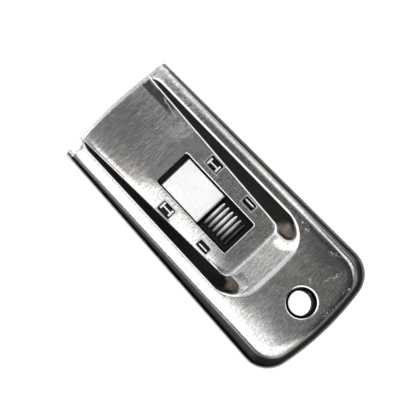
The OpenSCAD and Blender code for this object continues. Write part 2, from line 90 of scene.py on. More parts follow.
class Line:
    """A line round the housing, seen from above, in mm: a straight side, a rear corner and a bowed end."""

    def __init__(self, front_half, widening, rear, bow, corner):
        self.front_half, self.widening = front_half, widening
        self.rear, self.bow, self.corner = rear, bow, corner
        self.lean = math.atan(widening)
        a = 1 + widening ** 2
        m = front_half + widening * FRONT_Y - corner * math.sqrt(a)
        q = rear + bow
        b = m * widening + q
        y = (b - math.sqrt(b ** 2 - a * (m ** 2 + q ** 2 - (bow - corner) ** 2))) / a
        self.centre = Vector((m - widening * y, y))
        self.tangent_y = y + corner * math.sin(self.lean)
        self.end_angle = math.atan2(y - q, self.centre.x)

    def inset(self, by):
        return Line(self.front_half - by * math.hypot(1, self.widening), self.widening,
                    self.rear + by, self.bow - by, self.corner - by)

    def half(self, y):
        return self.front_half + self.widening * (FRONT_Y - y)

    def on_side(self, y):
        return Vector((self.half(y), y))

    def on_corner(self, part):
        angle = self.lean + (self.end_angle - self.lean) * part
        return self.centre + self.corner * Vector((math.cos(angle), math.sin(angle)))

    def on_end(self, part):
        angle = self.end_angle + (-math.pi / 2 - self.end_angle) * part
        return Vector((0, self.rear + self.bow)) + self.bow * Vector((math.cos(angle), math.sin(angle)))


def is_within(p, outline):
    """Whether a point lies inside an outline, by counting the edges to its right."""
    hits = 0
    for a, b in zip(outline, outline[1:] + outline[:1]):
        if (a.y > p.y) != (b.y > p.y):
            hits += p.x < a.x + (b.x - a.x) * (p.y - a.y) / (b.y - a.y)
    return hits % 2 == 1


class Sheet:
    """Collects the points, in mm, the faces and the per-point marks of one piece."""

    def __init__(self):
        self.points, self.faces, self.marks = [], [], []

    def row(self, points, **marks):
        start = len(self.points)
        self.points += [Vector(p) for p in points]
        for n in range(len(points)):
            self.marks.append({key: value[n] if isinstance(value, list) else value
                               for key, value in marks.items()})
        return list(range(start, len(self.points)))

    def strips(self, *rows, closed=False):
        for a, b in zip(rows, rows[1:]):
            for n in range(len(a) if closed else len(a) - 1):
                m = (n + 1) % len(a)
                self.faces.append((a[n], a[m], b[m], b[n]))

    def area(self, loop, holes=(), inside=()):
        rings = [loop, *holes]
        indices = [i for ring in rings for i in ring] + list(inside)
        edges, start = [], 0
        for ring in rings:
            edges += [(start + n, start + (n + 1) % len(ring)) for n in range(len(ring))]
            start += len(ring)
        flat = [self.points[i].to_2d() for i in indices]
        made = delaunay_2d_cdt(flat, edges, [], 0, 1e-6)
        outlines = [[self.points[i] for i in ring] for ring in rings]
        for triangle in made[2]:
            a, b, c = (made[0][v] for v in triangle)
            centre = (a + b + c) / 3
            is_sliver = abs((b - a).cross(c - a)) < 1e-4
            in_hole = any(is_within(centre, hole) for hole in outlines[1:])
            if is_within(centre, outlines[0]) and not in_hole and not is_sliver:
                self.faces.append(tuple(indices[made[3][v][0]] for v in triangle))


def both_sides(points):
    """The points of the right half, then those of the left half from the rear back to the front."""
    return points + [Vector((-p.x, *p[1:])) for p in points[-2::-1]]


def ring(centre, radius, z, steps=64):
    turns = [2 * math.pi * n / steps for n in range(steps)]
    return [(centre[0] + radius * math.cos(t), centre[1] + radius * math.sin(t), z) for t in turns]


def rounding(radius, steps=5):
    """A quarter round from one face of an edge to the other, as the offsets from both faces."""
    turns = [math.pi / 2 * n / steps for n in range(steps + 1)]
    return [(radius * (1 - math.sin(t)), radius * (1 - math.cos(t))) for t in turns]


def placed(name, data):
    """A new object in the scene."""
    made = bpy.data.objects.new(name, data)
    bpy.context.scene.collection.objects.link(made)
    return made


def weigh_normals(made):
    """Lets the large flat faces set the shading, so that bends stay narrow."""
    made.data.shade_smooth()
    made.data.set_sharp_from_angle(angle=SHARP_ANGLE)
    weighted = made.modifiers.new("weighted", "WEIGHTED_NORMAL")
    weighted.keep_sharp = True
    weighted.weight = 90


def make_piece(name, sheet, material):
    """A mesh object from a sheet, with its marks as attributes and a map whose U runs along the housing."""
    mesh = bpy.data.meshes.new(name)
    mesh.from_pydata([p * MM for p in sheet.points], [], sheet.faces)
    for mark in sorted({key for marks in sheet.marks for key in marks}):
        values = mesh.attributes.new(mark, "FLOAT", "POINT")
        values.data.foreach_set("value", [float(marks.get(mark, 0)) for marks in sheet.marks])
    shape = bmesh.new()
    shape.from_mesh(mesh)
    bmesh.ops.recalc_face_normals(shape, faces=shape.faces)
    grain = shape.loops.layers.uv.new("grain")
    for face in shape.faces:
        for corner in face.loops:
            corner[grain].uv = (corner.vert.co.y * 10, corner.vert.co.x * 10)
    shape.to_mesh(mesh)
    shape.free()
    mesh.materials.append(material)
    made = placed(name, mesh)
    weigh_normals(made)
    return made


def feed(tree, node, inputs):
    """Links an input where its value is another node's output, and sets it otherwise."""
    for name, value in inputs.items():
        if isinstance(value, bpy.types.NodeSocket):
            tree.links.new(value, node.inputs[name])
        else:
            node.inputs[name].default_value = value


def add(tree, kind, inputs=None, **settings):
    made = tree.nodes.new(kind)
    for name, value in settings.items():
        setattr(made, name, value)
    feed(tree, made, inputs or {})
    return made


def maths(tree, operation, *values, clamp=False):
    inputs = dict(enumerate(values))
    return add(tree, "ShaderNodeMath", inputs, operation=operation, use_clamp=clamp).outputs[0]


def all_of(tree, *masks):
    """The product of some masks."""
    return functools.reduce(lambda a, b: maths(tree, "MULTIPLY", a, b), masks)


def any_of(tree, *masks):
    """The greatest of some masks."""
    return functools.reduce(lambda a, b: maths(tree, "MAXIMUM", a, b), masks)


def blend(tree, factor, a, b):
    """Mixes two colours."""
    mixed = add(tree, "ShaderNodeMix", {0: factor, 6: a, 7: b}, data_type="RGBA")
    return mixed.outputs[2]


def grey(value):
    return (value, value, value, 1)


def step(tree, value, low, high):
    """A soft step from 0 at low to 1 at high."""
    inputs = {"Value": value, "From Min": low, "From Max": high}
    return add(tree, "ShaderNodeMapRange", inputs, interpolation_type="SMOOTHSTEP").outputs[0]


def place_on(tree):
    """The X, Y and Z of a point on the piece, in mm."""
    place = add(tree, "ShaderNodeTexCoord").outputs["Object"]
    in_mm = add(tree, "ShaderNodeVectorMath", {0: place, "Scale": 1 / MM}, operation="SCALE")
    return add(tree, "ShaderNodeSeparateXYZ", {0: in_mm.outputs[0]}).outputs


def noise(tree, place, scale, detail, roughness=0.5):
    inputs = {"Vector": place, "Scale": scale, "Detail": detail, "Roughness": roughness}
    return add(tree, "ShaderNodeTexNoise", inputs).outputs[0]


def new_group(name, inputs, outputs):
    group = bpy.data.node_groups.new(name, "ShaderNodeTree")
    for label, value in inputs.items():
        socket = group.interface.new_socket(label, in_out="INPUT", socket_type="NodeSocketFloat")
        socket.default_value = value
    for label in outputs:
        group.interface.new_socket(label, in_out="OUTPUT", socket_type="NodeSocketFloat")
    return group, group.nodes.new("NodeGroupInput").outputs, group.nodes.new("NodeGroupOutput")


def brushed_grain():
    """Fine lines that run across the housing, a fine mottle, and blotches where the belt pressed harder."""
    sizes = {"Across": 3000, "Along": 70, "Mottle": 2200, "Blotch": 90}
    group, given, result = new_group("brushed_grain", sizes, ("Lines", "Mottle", "Blotches"))
    place = add(group, "ShaderNodeTexCoord").outputs["Object"]
    scale = add(group, "ShaderNodeCombineXYZ", {0: given["Along"], 1: given["Across"], 2: given["Across"]})
    drawn = add(group, "ShaderNodeVectorMath", {0: place, 1: scale.outputs[0]}, operation="MULTIPLY")
    feed(group, result, {"Lines": noise(group, drawn.outputs[0], 1, 2, 0.6),
                         "Mottle": noise(group, place, given["Mottle"], 1),
                         "Blotches": noise(group, place, given["Blotch"], 3)})
    return group


GRAIN = brushed_grain()


def steel(name, colour, roughness, across=3000, along=70, lines=0.25, mottle=0.3, patchy=0.1, bump=0.1,
          anisotropic=0.0):
    """Brushed steel. Returns the material, its tree and shader, and their colour, roughness and grain."""
    material = bpy.data.materials.new(name)
    material.use_nodes = True
    tree = material.node_tree
    shader = tree.nodes["Principled BSDF"]
    if anisotropic:
        tangent = add(tree, "ShaderNodeTangent", direction_type="UV_MAP", uv_map="grain")
        feed(tree, shader, {"Tangent": tangent.outputs[0]})
    grain = add(tree, "ShaderNodeGroup", {"Across": across, "Along": along}, node_tree=GRAIN)
    depths = {"Lines": lines, "Mottle": mottle, "Blotches": 0.4}
    shade = all_of(tree, *(maths(tree, "MULTIPLY_ADD", grain.outputs[label], depth, 1 - depth / 2)
                           for label, depth in depths.items()))
    tone = add(tree, "ShaderNodeVectorMath", {0: colour, "Scale": shade}, operation="SCALE").outputs[0]
    rough = maths(tree, "MULTIPLY_ADD", grain.outputs["Blotches"], patchy, roughness - patchy / 2)
    relief = add(tree, "ShaderNodeBump", {"Strength": bump, "Distance": 0.05 * MM,
                                          "Height": grain.outputs["Lines"]})
    feed(tree, shader, {"Base Color": tone, "Roughness": rough, "Metallic": 1, "Anisotropic": anisotropic,
                        "Normal": relief.outputs[0]})
    return material, tree, shader, tone, rough, grain


def front_edge_y(x, front):
    return front - FRONT_BOW + math.sqrt(FRONT_BOW ** 2 - x ** 2)


def plate_path(line, front, side_steps=16, corner_steps=24, end_steps=10):
    """Points from the bowed front edge down the right side and round to the middle of the rear."""
    start = front
    for _ in range(4):
        start = front_edge_y(line.half(start), front)
    run = line.tangent_y - start
    side = [line.on_side(start + run * n / side_steps) for n in range(side_steps)]
    corner = [line.on_corner(n / corner_steps) for n in range(corner_steps)]
    return side + corner + [line.on_end(n / end_steps) for n in range(end_steps + 1)]


RIM_LINE = Line(FRONT_HALF, (REAR_HALF - FRONT_HALF) / (FRONT_Y - REAR_Y), REAR_Y, REAR_BOW, CORNER_RADIUS)


def back_plate():
    """The rim's rounded profile is drawn round the tray, and its two flat faces are filled between."""
    tray = Sheet()
    front_steps, dimple_steps = 24, 24
    edge = rounding(PLATE_ROUND)
    profile = edge + [(up, RIM_HEIGHT - off) for off, up in edge]
    profile += [(PLATE_SHEET - off, RIM_HEIGHT - up) for off, up in edge]
    profile += [(PLATE_SHEET, PLATE_SHEET)]
    front = FRONT_Y - PLATE_SETBACK
    rows = []
    for off, z in profile:
        path = both_sides(plate_path(RIM_LINE.inset(off), front))
        rows.append(tray.row([(p.x, p.y, z) for p in path]))
    tray.strips(*rows)
    tray.faces += [tuple(r[0] for r in rows), tuple(r[-1] for r in reversed(rows))]

    def front_row(outer):
        left, right = tray.points[outer[-1]], tray.points[outer[0]]
        xs = [left.x + (right.x - left.x) * n / front_steps for n in range(1, front_steps)]
        return tray.row([(x, front_edge_y(x, front), left.z) for x in xs])

    bottom_front, floor_front = front_row(rows[0]), front_row(rows[-1])
    tray.strips([rows[0][-1], *bottom_front, rows[0][0]], [rows[-1][-1], *floor_front, rows[-1][0]])
    hole = [tray.row(ring((0, HOLE_Y), HOLE_RADIUS + off, up)) for off, up in edge]
    hole.append(tray.row(ring((0, HOLE_Y), HOLE_RADIUS, PLATE_SHEET)))
    tray.strips(*hole, closed=True)
    dimples = []
    for y in DIMPLES_Y:
        mouth = tray.row(ring((0, y), DIMPLE_RADIUS, PLATE_SHEET, dimple_steps))
        foot = tray.row(ring((0, y), DIMPLE_RADIUS, PLATE_SHEET - DIMPLE_DEPTH, dimple_steps))
        tray.strips(mouth, foot, closed=True)
        tray.area(foot)
        dimples.append(mouth)
    tray.area(rows[0] + bottom_front, [hole[0]])
    tray.area(rows[-1] + floor_front, [hole[-1], *dimples])
    return tray


plate_steel, tree, shader, tone, *_ = steel("plate_steel", (0.5, 0.5, 0.5), 0.34, lines=0.3)
# The tray's floor between the rim's walls is painted dark as shade, for it lies in the shade under the shell
place = place_on(tree)
tray_shade = all_of(tree, step(tree, place["Z"], PLATE_SHEET - 0.2, PLATE_SHEET - 0.05),
              step(tree, maths(tree, "ABSOLUTE", place["X"]), SHADE_HALF + 0.5, SHADE_HALF),
              step(tree, place["Y"], SHADE_REAR_Y - 1, SHADE_REAR_Y))
feed(tree, shader, {"Base Color": blend(tree, tray_shade, tone, TRAY_SHADE)})
plate = make_piece("back_plate_sheet", back_plate(), plate_steel)
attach(plate, "housing")
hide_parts("back_plate")


# Guide rails
# Two bent strips of bright plated steel that guide the slide from both sides.
# Each has two tabs that go up through slots in the panel, the front one staked to an I shape.

rail_steel, tree, shader, tone, *_ = steel("rail_steel", (0.82, 0.82, 0.82), 0.45, across=5000, lines=0.12)
# The staked ends are scraped bright. Below the panel the rails are painted dark as shade
above_shade = step(tree, place_on(tree)["Z"], 3.3, 3.65)
feed(tree, shader, {"Base Color": blend(tree, above_shade, grey(0.02), tone)})


def softened_copy(node, material, radius):
    """A copy of a CAD node with its sheet edges rounded off, which takes the node's place."""
    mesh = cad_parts[node].data.copy()
    mesh.name = node + "_soft"
    shape = bmesh.new()
    shape.from_mesh(mesh)
    bmesh.ops.remove_doubles(shape, verts=shape.verts, dist=1e-6)
    bmesh.ops.dissolve_limit(shape, angle_limit=math.radians(1), verts=shape.verts, edges=shape.edges)
    shape.to_mesh(mesh)
    shape.free()
    mesh.materials.clear()
    mesh.materials.append(material)
    made = placed(mesh.name, mesh)
    bevel = made.modifiers.new("round", "BEVEL")
    bevel.width = radius * MM
    bevel.segments = 3
    bevel.limit_method = "ANGLE"
    bevel.angle_limit = SHARP_ANGLE
    weigh_normals(made)
    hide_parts(node)
    return made


for side in ("left_rail", "right_rail"):
    rail = softened_copy(side, rail_steel, radius=0.12)
    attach(rail, "housing")


# Front shell
# The wedge-shaped cover, drawn from one stainless sheet. Its panel is sunk for the thumb and runs out in
# a rolled lip at the mouth, and the hanging hole is drawn down to the back plate as a collar.

SHELL_SHEET = 0.7
PANEL_HEIGHT = 3.8
FRONT_HEIGHT = 5.1
REAR_HEIGHT = cad_high.z / MM
FOOT_GAP = 0.1
INNER_FOOT = SHELL_SHEET * 1.03
INNER_TOP = SHELL_SHEET * 0.77
TOP_FRONT_INSET = 1.49
TOP_REAR_INSET = 2.7
TOP_WIDENING = 0.0127
WALL_SLOPE = math.radians(36.3)
RAMP_LENGTH = 8.4
PANEL_REAR_Y = REAR_Y + 33.5
PANEL_CORNER_Y = PANEL_REAR_Y + 4.2
PANEL_FRONT_HALF = 14.6
PANEL_REAR_HALF = 11.75
PANEL_CORNER = 2.8
RECESS_CORNER = 10
RECESS_BOW = 150
RECESS_START_Y = FRONT_Y - 5.1
LEVEL_Y = HOLE_Y + 6.1
LEVEL_BLEND = 4
LIP_RADIUS = 1.45
LIP_TURN = math.radians(78)
LIP_START_Y = FRONT_Y - LIP_RADIUS * math.sin(LIP_TURN)
RUNOUT_LENGTH = 4.9
RUNOUT_LEFT = 0.05
TIP_Y = LIP_START_Y - 0.7
TIP_LENGTH = 4.2
BOW_LENGTH = 8
CROWN_DROP = 0.35
CROWN_WIDTH = 3.4
# Reach of the outer bend, of the flat on the recess's edge and of the bend at its foot, on both skins
OUTER_REACH = (1.3, 0.44, 0.28)
INNER_REACH = (0.8, 0.1, 0.5)
SIDE_BEND = 0.5
REAR_BEND = 1.6
SIDE_FLAT = 0.75
RAMP_FLAT = 1.65
FOOT_UP = 1.7
FOOT_IN = 0.5
# The panel's left margin and tilted strip, with the Y where each starts, is full, fades and ends
MARGIN_WIDTH = 1.9
MARGIN_SLOPE = 0.05
MARGIN_SPAN = (PANEL_CORNER_Y, PANEL_CORNER_Y + 12, 37, 51)
TILT_START_X = -6.5
TILT_BLEND = 0.8
TILT_SLOPE = 0.025
TILT_SPAN = (-20, 2, 18, 33)
POCKET_X = 12.7
POCKET_Y = -18.7
POCKET_RADIUS = 2.8
POCKET_DEPTH = 0.4
POCKET_FALL = 1.6
CORNER_FADE = 2.8
CREST_HEIGHT = 0.5
CREST_WIDTH = 3.2
CREST_BLEND = 0.9
CREST_RUB = 0.4
RIDGE_OFF = 0.1
RIDGE_WIDTH = 0.35
# How the painted shade in the pockets fades past their edge, and where and over what length it ends towards
# the front
SHADE_FADE = 0.6
SHADE_END_Y = TIP_Y - 1
SHADE_RUNOUT = 3
# Middle X and Y, width, length and corner radius. The left slots mirror these right ones
WINDOW = (0, 6.15, 13.2, 31.5, 0.7)
SLOTS = ((10.54, 13.1, 3.5, 5.1, 0.4), (10.03, -3.5, 2.4, 4.5, 0.4))
WINDOW_EDGE = 0.3
SLOT_EDGE = 0.12
HOLE_MARGIN = 0.5
COLLAR_RADIUS = 4.8
COLLAR_MARGIN = 1.6
MOUTH_BEND = 1.88
MOUTH_HEIGHT = 1.79
MOUTH_REACH = 1.5

# Steps along the right half: lip, run-out, straight side, turn into the corner, corner, rear end
STEPS = (8, 28, 60, 14, 28, 16)
LIP_LAST, RUNOUT_LAST, SIDE_LAST, TURN_LAST, CORNER_LAST, LAST = (sum(STEPS[:n + 1]) for n in range(6))
BEND_STEPS = 8
EDGE_STEPS = 4
WALL_ROWS = 28
OUTER_ROWS = 7
CROWN_ROWS = 8
LEVEL_ROWS = 5
REAR_ROWS = 12
PANEL_COLUMNS = 44
MOUTH_STEPS = 12
REAR_BEND_STEPS = 20
LIP_WEAR_STEPS = 6
LIP_FADE_STEPS = 10
# The panel's points lie closer together along its sides, and closest beside the fold
SIDE_SPACING = 0.4
SIDE_COLUMNS = 8
MIDDLE_SPACING = 0.8
FOLD_SPACING = 0.07
CORNER_ROWS = (0.4, 1.3, 2.2, 3.1)


def eased(part):
    part = max(0.0, min(1.0, part))
    return part * part * (3 - 2 * part)


def spanned(y, start, full, fading, end):
    """1 between full and fading, and 0 before the start and past the end."""
    return eased((y - start) / (full - start)) * eased((end - y) / (end - fading))


FLANGE_RISE = (REAR_HEIGHT - FRONT_HEIGHT) / (RECESS_START_Y - LEVEL_Y)


def flange_height(y):
    """Climbs in a straight line towards the rear and levels out softly round the hole."""
    ahead = y - LEVEL_Y
    if ahead > LEVEL_BLEND:
        return REAR_HEIGHT - FLANGE_RISE * ahead
    if ahead < -LEVEL_BLEND:
        return REAR_HEIGHT
    return REAR_HEIGHT - FLANGE_RISE * (ahead + LEVEL_BLEND) ** 2 / 4 / LEVEL_BLEND


def recess_left(y):
    """What is left of the recess. It ends in a round tip a little behind the lip."""
    part = max(0, min(1, (y - TIP_Y + TIP_LENGTH) / TIP_LENGTH))
    return max(RUNOUT_LEFT, math.sqrt(1 - part ** 2))


def skin_height(y):
    return PANEL_HEIGHT + (flange_height(y) - PANEL_HEIGHT) * recess_left(y)


FOOT_LINE = RIM_LINE.inset(PLATE_SHEET + FOOT_GAP)
TOP_LINE = Line(FRONT_HALF - TOP_FRONT_INSET, TOP_WIDENING, REAR_Y + TOP_REAR_INSET,
                REAR_BOW - TOP_REAR_INSET, CORNER_RADIUS - TOP_FRONT_INSET)
FLOOR_LINE = Line(PANEL_FRONT_HALF, (PANEL_REAR_HALF - PANEL_FRONT_HALF) / (FRONT_Y - PANEL_CORNER_Y),
                  PANEL_REAR_Y, RECESS_BOW, PANEL_CORNER)


def recess_half(y):
    """Half the recess's width at the flange, which follows from its depth and the walls' slope."""
    height = min(REAR_HEIGHT, FRONT_HEIGHT + FLANGE_RISE * (RECESS_START_Y - y))
    return FLOOR_LINE.half(y) + (height - PANEL_HEIGHT) / math.tan(WALL_SLOPE)


recess_run = RECESS_START_Y - PANEL_CORNER_Y
recess_widening = (recess_half(PANEL_CORNER_Y) - recess_half(RECESS_START_Y)) / recess_run
recess_front = recess_half(RECESS_START_Y) - recess_widening * (FRONT_Y - RECESS_START_Y)
RECESS_LINE = Line(recess_front, recess_widening, PANEL_REAR_Y - RAMP_LENGTH, RECESS_BOW, RECESS_CORNER)


def station(line, i, outside):
    """A point on a line. In the turn an outside line still runs straight, but the recess is in its corner."""
    side_end = RECESS_LINE.tangent_y if outside else line.tangent_y
    runout_y = LIP_START_Y - RUNOUT_LENGTH
    if i <= LIP_LAST:
        return line.on_side(LIP_START_Y)
    if i <= RUNOUT_LAST:
        return line.on_side(LIP_START_Y - RUNOUT_LENGTH * (i - LIP_LAST) / STEPS[1])
    if i <= SIDE_LAST:
        return line.on_side(runout_y + (side_end - runout_y) * (i - RUNOUT_LAST) / STEPS[2])
    if i <= TURN_LAST:
        part = (i - SIDE_LAST) / STEPS[3]
        if outside:
            return line.on_side(side_end + (line.tangent_y - side_end) * part)
        return line.on_corner(part / 2)
    if i <= CORNER_LAST:
        part = (i - TURN_LAST) / STEPS[4]
        return line.on_corner(part if outside else 0.5 + part / 2)
    return line.on_end((i - CORNER_LAST) / STEPS[5])


def towards(a, b, length, limit=0.45):
    """A point some way from a to b, but short of the middle."""
    return a + (b - a).normalized() * min(length, limit * (b - a).length)


def curve(a, b, c, steps):
    """A curve from a to c that is drawn towards b."""
    parts = [n / steps for n in range(steps + 1)]
    return [(1 - s) ** 2 * a + 2 * s * (1 - s) * b + s ** 2 * c for s in parts]


def bend(a, b, c, reach, steps=BEND_STEPS):
    """A rounded bend in the corner b, between a and c."""
    return curve(towards(b, a, reach), b, towards(b, c, reach), steps)


def between(a, b, count):
    return [a.lerp(b, n / (count + 1)) for n in range(1, count + 1)]


def rolled(p, i, radius, sink):
    """Rolls the lip down and bows the front edge."""
    turn = LIP_TURN * max(0, 1 - i / STEPS[0])
    share = max(0, min(1, (p.z - PLATE_SHEET) / (PANEL_HEIGHT - sink - PLATE_SHEET)))
    y = p.y + radius * math.sin(turn)
    bowed = p.x ** 2 / 2 / FRONT_BOW * eased((y - FRONT_Y + BOW_LENGTH) / BOW_LENGTH)
    return Vector((p.x, y - bowed, p.z - radius * (1 - math.cos(turn)) * share))


def panel_point(x, y, sink):
    """A point on the panel, whose left strip is tilted a little and bends down at its edge."""
    past = TILT_START_X - x
    if past < 0:
        return Vector((x, y, PANEL_HEIGHT - sink))
    into = max(0, 1 - (FLOOR_LINE.half(y) + x) / MARGIN_WIDTH)
    bent = MARGIN_SLOPE * MARGIN_WIDTH * into ** 2 / 2 * spanned(y, *MARGIN_SPAN)
    run = past ** 2 / 2 / TILT_BLEND if past < TILT_BLEND else past - TILT_BLEND / 2
    return Vector((x, y, PANEL_HEIGHT - sink - bent - TILT_SLOPE * run * spanned(y, *TILT_SPAN)))


def skin_point(p, sink):
    """A point on the flange, or some way under it."""
    return Vector((p.x, p.y, skin_height(p.y) - sink))


def ramp_share(i):
    """0 on the recess's side wall, 1 on its ramp."""
    return eased((i - SIDE_LAST) / (CORNER_LAST - SIDE_LAST))


def past_pocket(p):
    """How far a point lies outside the round end of the pocket that each side wall runs into."""
    x, y = abs(p.x) - POCKET_X, p.y - POCKET_Y
    if y > 0:
        return max(-x, x - y) - POCKET_RADIUS
    return math.hypot(x, y) - POCKET_RADIUS


def corner_form(p):
    """The pocket is pressed deeper than the ramp, and the ramp's end climbs to the crest beside it."""
    past = past_pocket(p)
    if past > CREST_WIDTH - CREST_BLEND:
        left = max(0, CREST_WIDTH + CREST_BLEND - past)
        return CREST_HEIGHT / CREST_WIDTH * left ** 2 / 4 / CREST_BLEND
    if past > 0:
        return CREST_HEIGHT * (1 - past / CREST_WIDTH)
    return CREST_HEIGHT - (CREST_HEIGHT + POCKET_DEPTH) * eased(-past / POCKET_FALL)


def corner_share(y):
    """0 beside the panel, 1 well down the ramp."""
    return eased((PANEL_CORNER_Y - CORNER_FADE - y) / CORNER_FADE)


def section(i, lines, sink, reach, radius):
    """The outer band, the flange's level rows and the recess band of one section, from foot to panel."""
    foot_line, top_line, recess_line, floor_line = lines
    foot = station(foot_line, i, True).to_3d() + Vector((0, 0, PLATE_SHEET))
    top_point = skin_point(station(top_line, i, True), CROWN_DROP + sink)
    bend_in = SIDE_BEND + (REAR_BEND - SIDE_BEND) * eased((i - SIDE_LAST) / REAR_BEND_STEPS)
    bend_in *= reach[0] / OUTER_REACH[0]
    crown = []
    for n in range(CROWN_ROWS + 1):
        part = (bend_in + (CROWN_WIDTH - bend_in) * n / CROWN_ROWS) / CROWN_WIDTH
        on_line = station(top_line.inset(CROWN_WIDTH * part), i, True)
        crown.append(skin_point(on_line, CROWN_DROP * (1 - part) ** 2 + sink))
    floor_edge = station(floor_line, i, False)
    full_edge = station(recess_line, i, False)
    left = recess_left(floor_edge.y) if i <= RUNOUT_LAST else 1
    edge_point = skin_point(floor_edge.lerp(full_edge, left), sink)
    floor_point = panel_point(*floor_edge, sink)
    inner_point = panel_point(*(floor_edge + (floor_edge - full_edge).normalized()), sink)
    top_bend = curve(towards(top_point, foot, reach[0]), top_point, crown[0], BEND_STEPS)
    # The recess's edge has a narrow flat that gets broader on the ramp
    on_ramp = ramp_share(i)
    flat = reach[1] * (SIDE_FLAT + (RAMP_FLAT - SIDE_FLAT) * on_ramp)
    upper = towards(edge_point, crown[-1], flat)
    lower = towards(edge_point, floor_point, flat)
    edge_bend = bend(crown[-1], upper, lower, flat / 2, EDGE_STEPS)
    edge_bend += bend(upper, lower, floor_point, flat / 2, EDGE_STEPS)
    foot_reach = reach[2] * (1 + on_ramp)
    floor_bend = curve(towards(floor_point, edge_point, FOOT_UP * foot_reach), floor_point,
                       towards(floor_point, inner_point, FOOT_IN * foot_reach), BEND_STEPS)
    # The corner's form fades out in the wall's upper quarter and lower seventh
    wall = between(edge_bend[-1], floor_bend[0], WALL_ROWS)
    for n, p in enumerate(wall):
        part = (n + 1) / (WALL_ROWS + 1)
        p.z += corner_form(p) * eased(min(4 * part, 7 * (1 - part))) * corner_share(p.y)
    outer_band = [foot, *between(foot, top_bend[0], OUTER_ROWS), *top_bend, *crown[1:]]
    level = [skin_point(p, sink) for p in between(crown[-1], edge_bend[0], LEVEL_ROWS)]
    recess_band = [*edge_bend, *wall, *floor_bend]
    return [[rolled(p, i, radius, sink) for p in band] for band in (outer_band, level, recess_band)]


def hole_loop(x, y, width, length, corner, grow, sink):
    """A loop round a hole in the panel, grown by some margin and sunk below the panel."""
    steps = 8
    loop = []
    for quarter, (sx, sy) in enumerate(((1, 1), (-1, 1), (-1, -1), (1, -1))):
        for n in range(steps + 1):
            turn = math.pi / 2 * (quarter + n / steps)
            loop.append(panel_point(x + sx * (width / 2 - corner) + (corner + grow) * math.cos(turn),
                                    y + sy * (length / 2 - corner) + (corner + grow) * math.sin(turn), sink))
    return loop


def lip_share(i):
    """1 on the rolled lip, 0 a little way behind it."""
    return eased((LIP_LAST + LIP_WEAR_STEPS - i) / LIP_FADE_STEPS)


def outer_marks(n):
    """The drawn wall, painted dark as shade, which fades out in the bend above it, and the turn of that bend.
    """
    in_bend = (n - OUTER_ROWS - 1) / BEND_STEPS
    if in_bend < 0:
        return {"wall": 1}
    if in_bend <= 1:
        return {"wall": max(0, 1 - 1.3 * in_bend), "turn": 1 - in_bend ** 4}
    return {}


def recess_marks(n, points):
    """The recess's rubbed bends and crests, the scraped ridges, and the painted shade in its walls and
    pockets.
    """
    edge = min(1, n / (2 * EDGE_STEPS + 1))
    foot = max(0, (n - 2 * EDGE_STEPS - WALL_ROWS - 2) / BEND_STEPS)
    rubbed = max(math.sin(math.pi * edge), min(1, 2 * foot))
    marks = {"bend": [], "ridge": [], "pocket": []}
    for i, p in enumerate(points):
        past = past_pocket(p) if i > SIDE_LAST else -POCKET_RADIUS
        on_wall = corner_share(p.y) if edge == 1 and foot == 0 else 0
        off = abs(past - RIDGE_OFF)
        crest = max(0, 1 - off / CREST_RUB, 0.5 - abs(past - CREST_WIDTH) / CREST_RUB)
        marks["bend"].append(max(rubbed, 0.9 * crest * on_wall))
        marks["ridge"].append(max(0, min(1, 1.6 - off / RIDGE_WIDTH)) * on_wall)
        shade_share = eased(0.3 - past / SHADE_FADE) * eased((SHADE_END_Y - p.y) / SHADE_RUNOUT)
        marks["pocket"].append(shade_share * edge * (1 - foot))
    return {mark: values + values[-2::-1] for mark, values in marks.items()}


def clear_of_holes(x, y):
    """Whether a point lies well outside the window and the slots."""
    for hole_x, hole_y, width, length, _ in (WINDOW, *SLOTS):
        beside = abs(abs(x) - hole_x) > width / 2 + HOLE_MARGIN
        if not beside and abs(y - hole_y) <= length / 2 + HOLE_MARGIN:
            return False
    return True


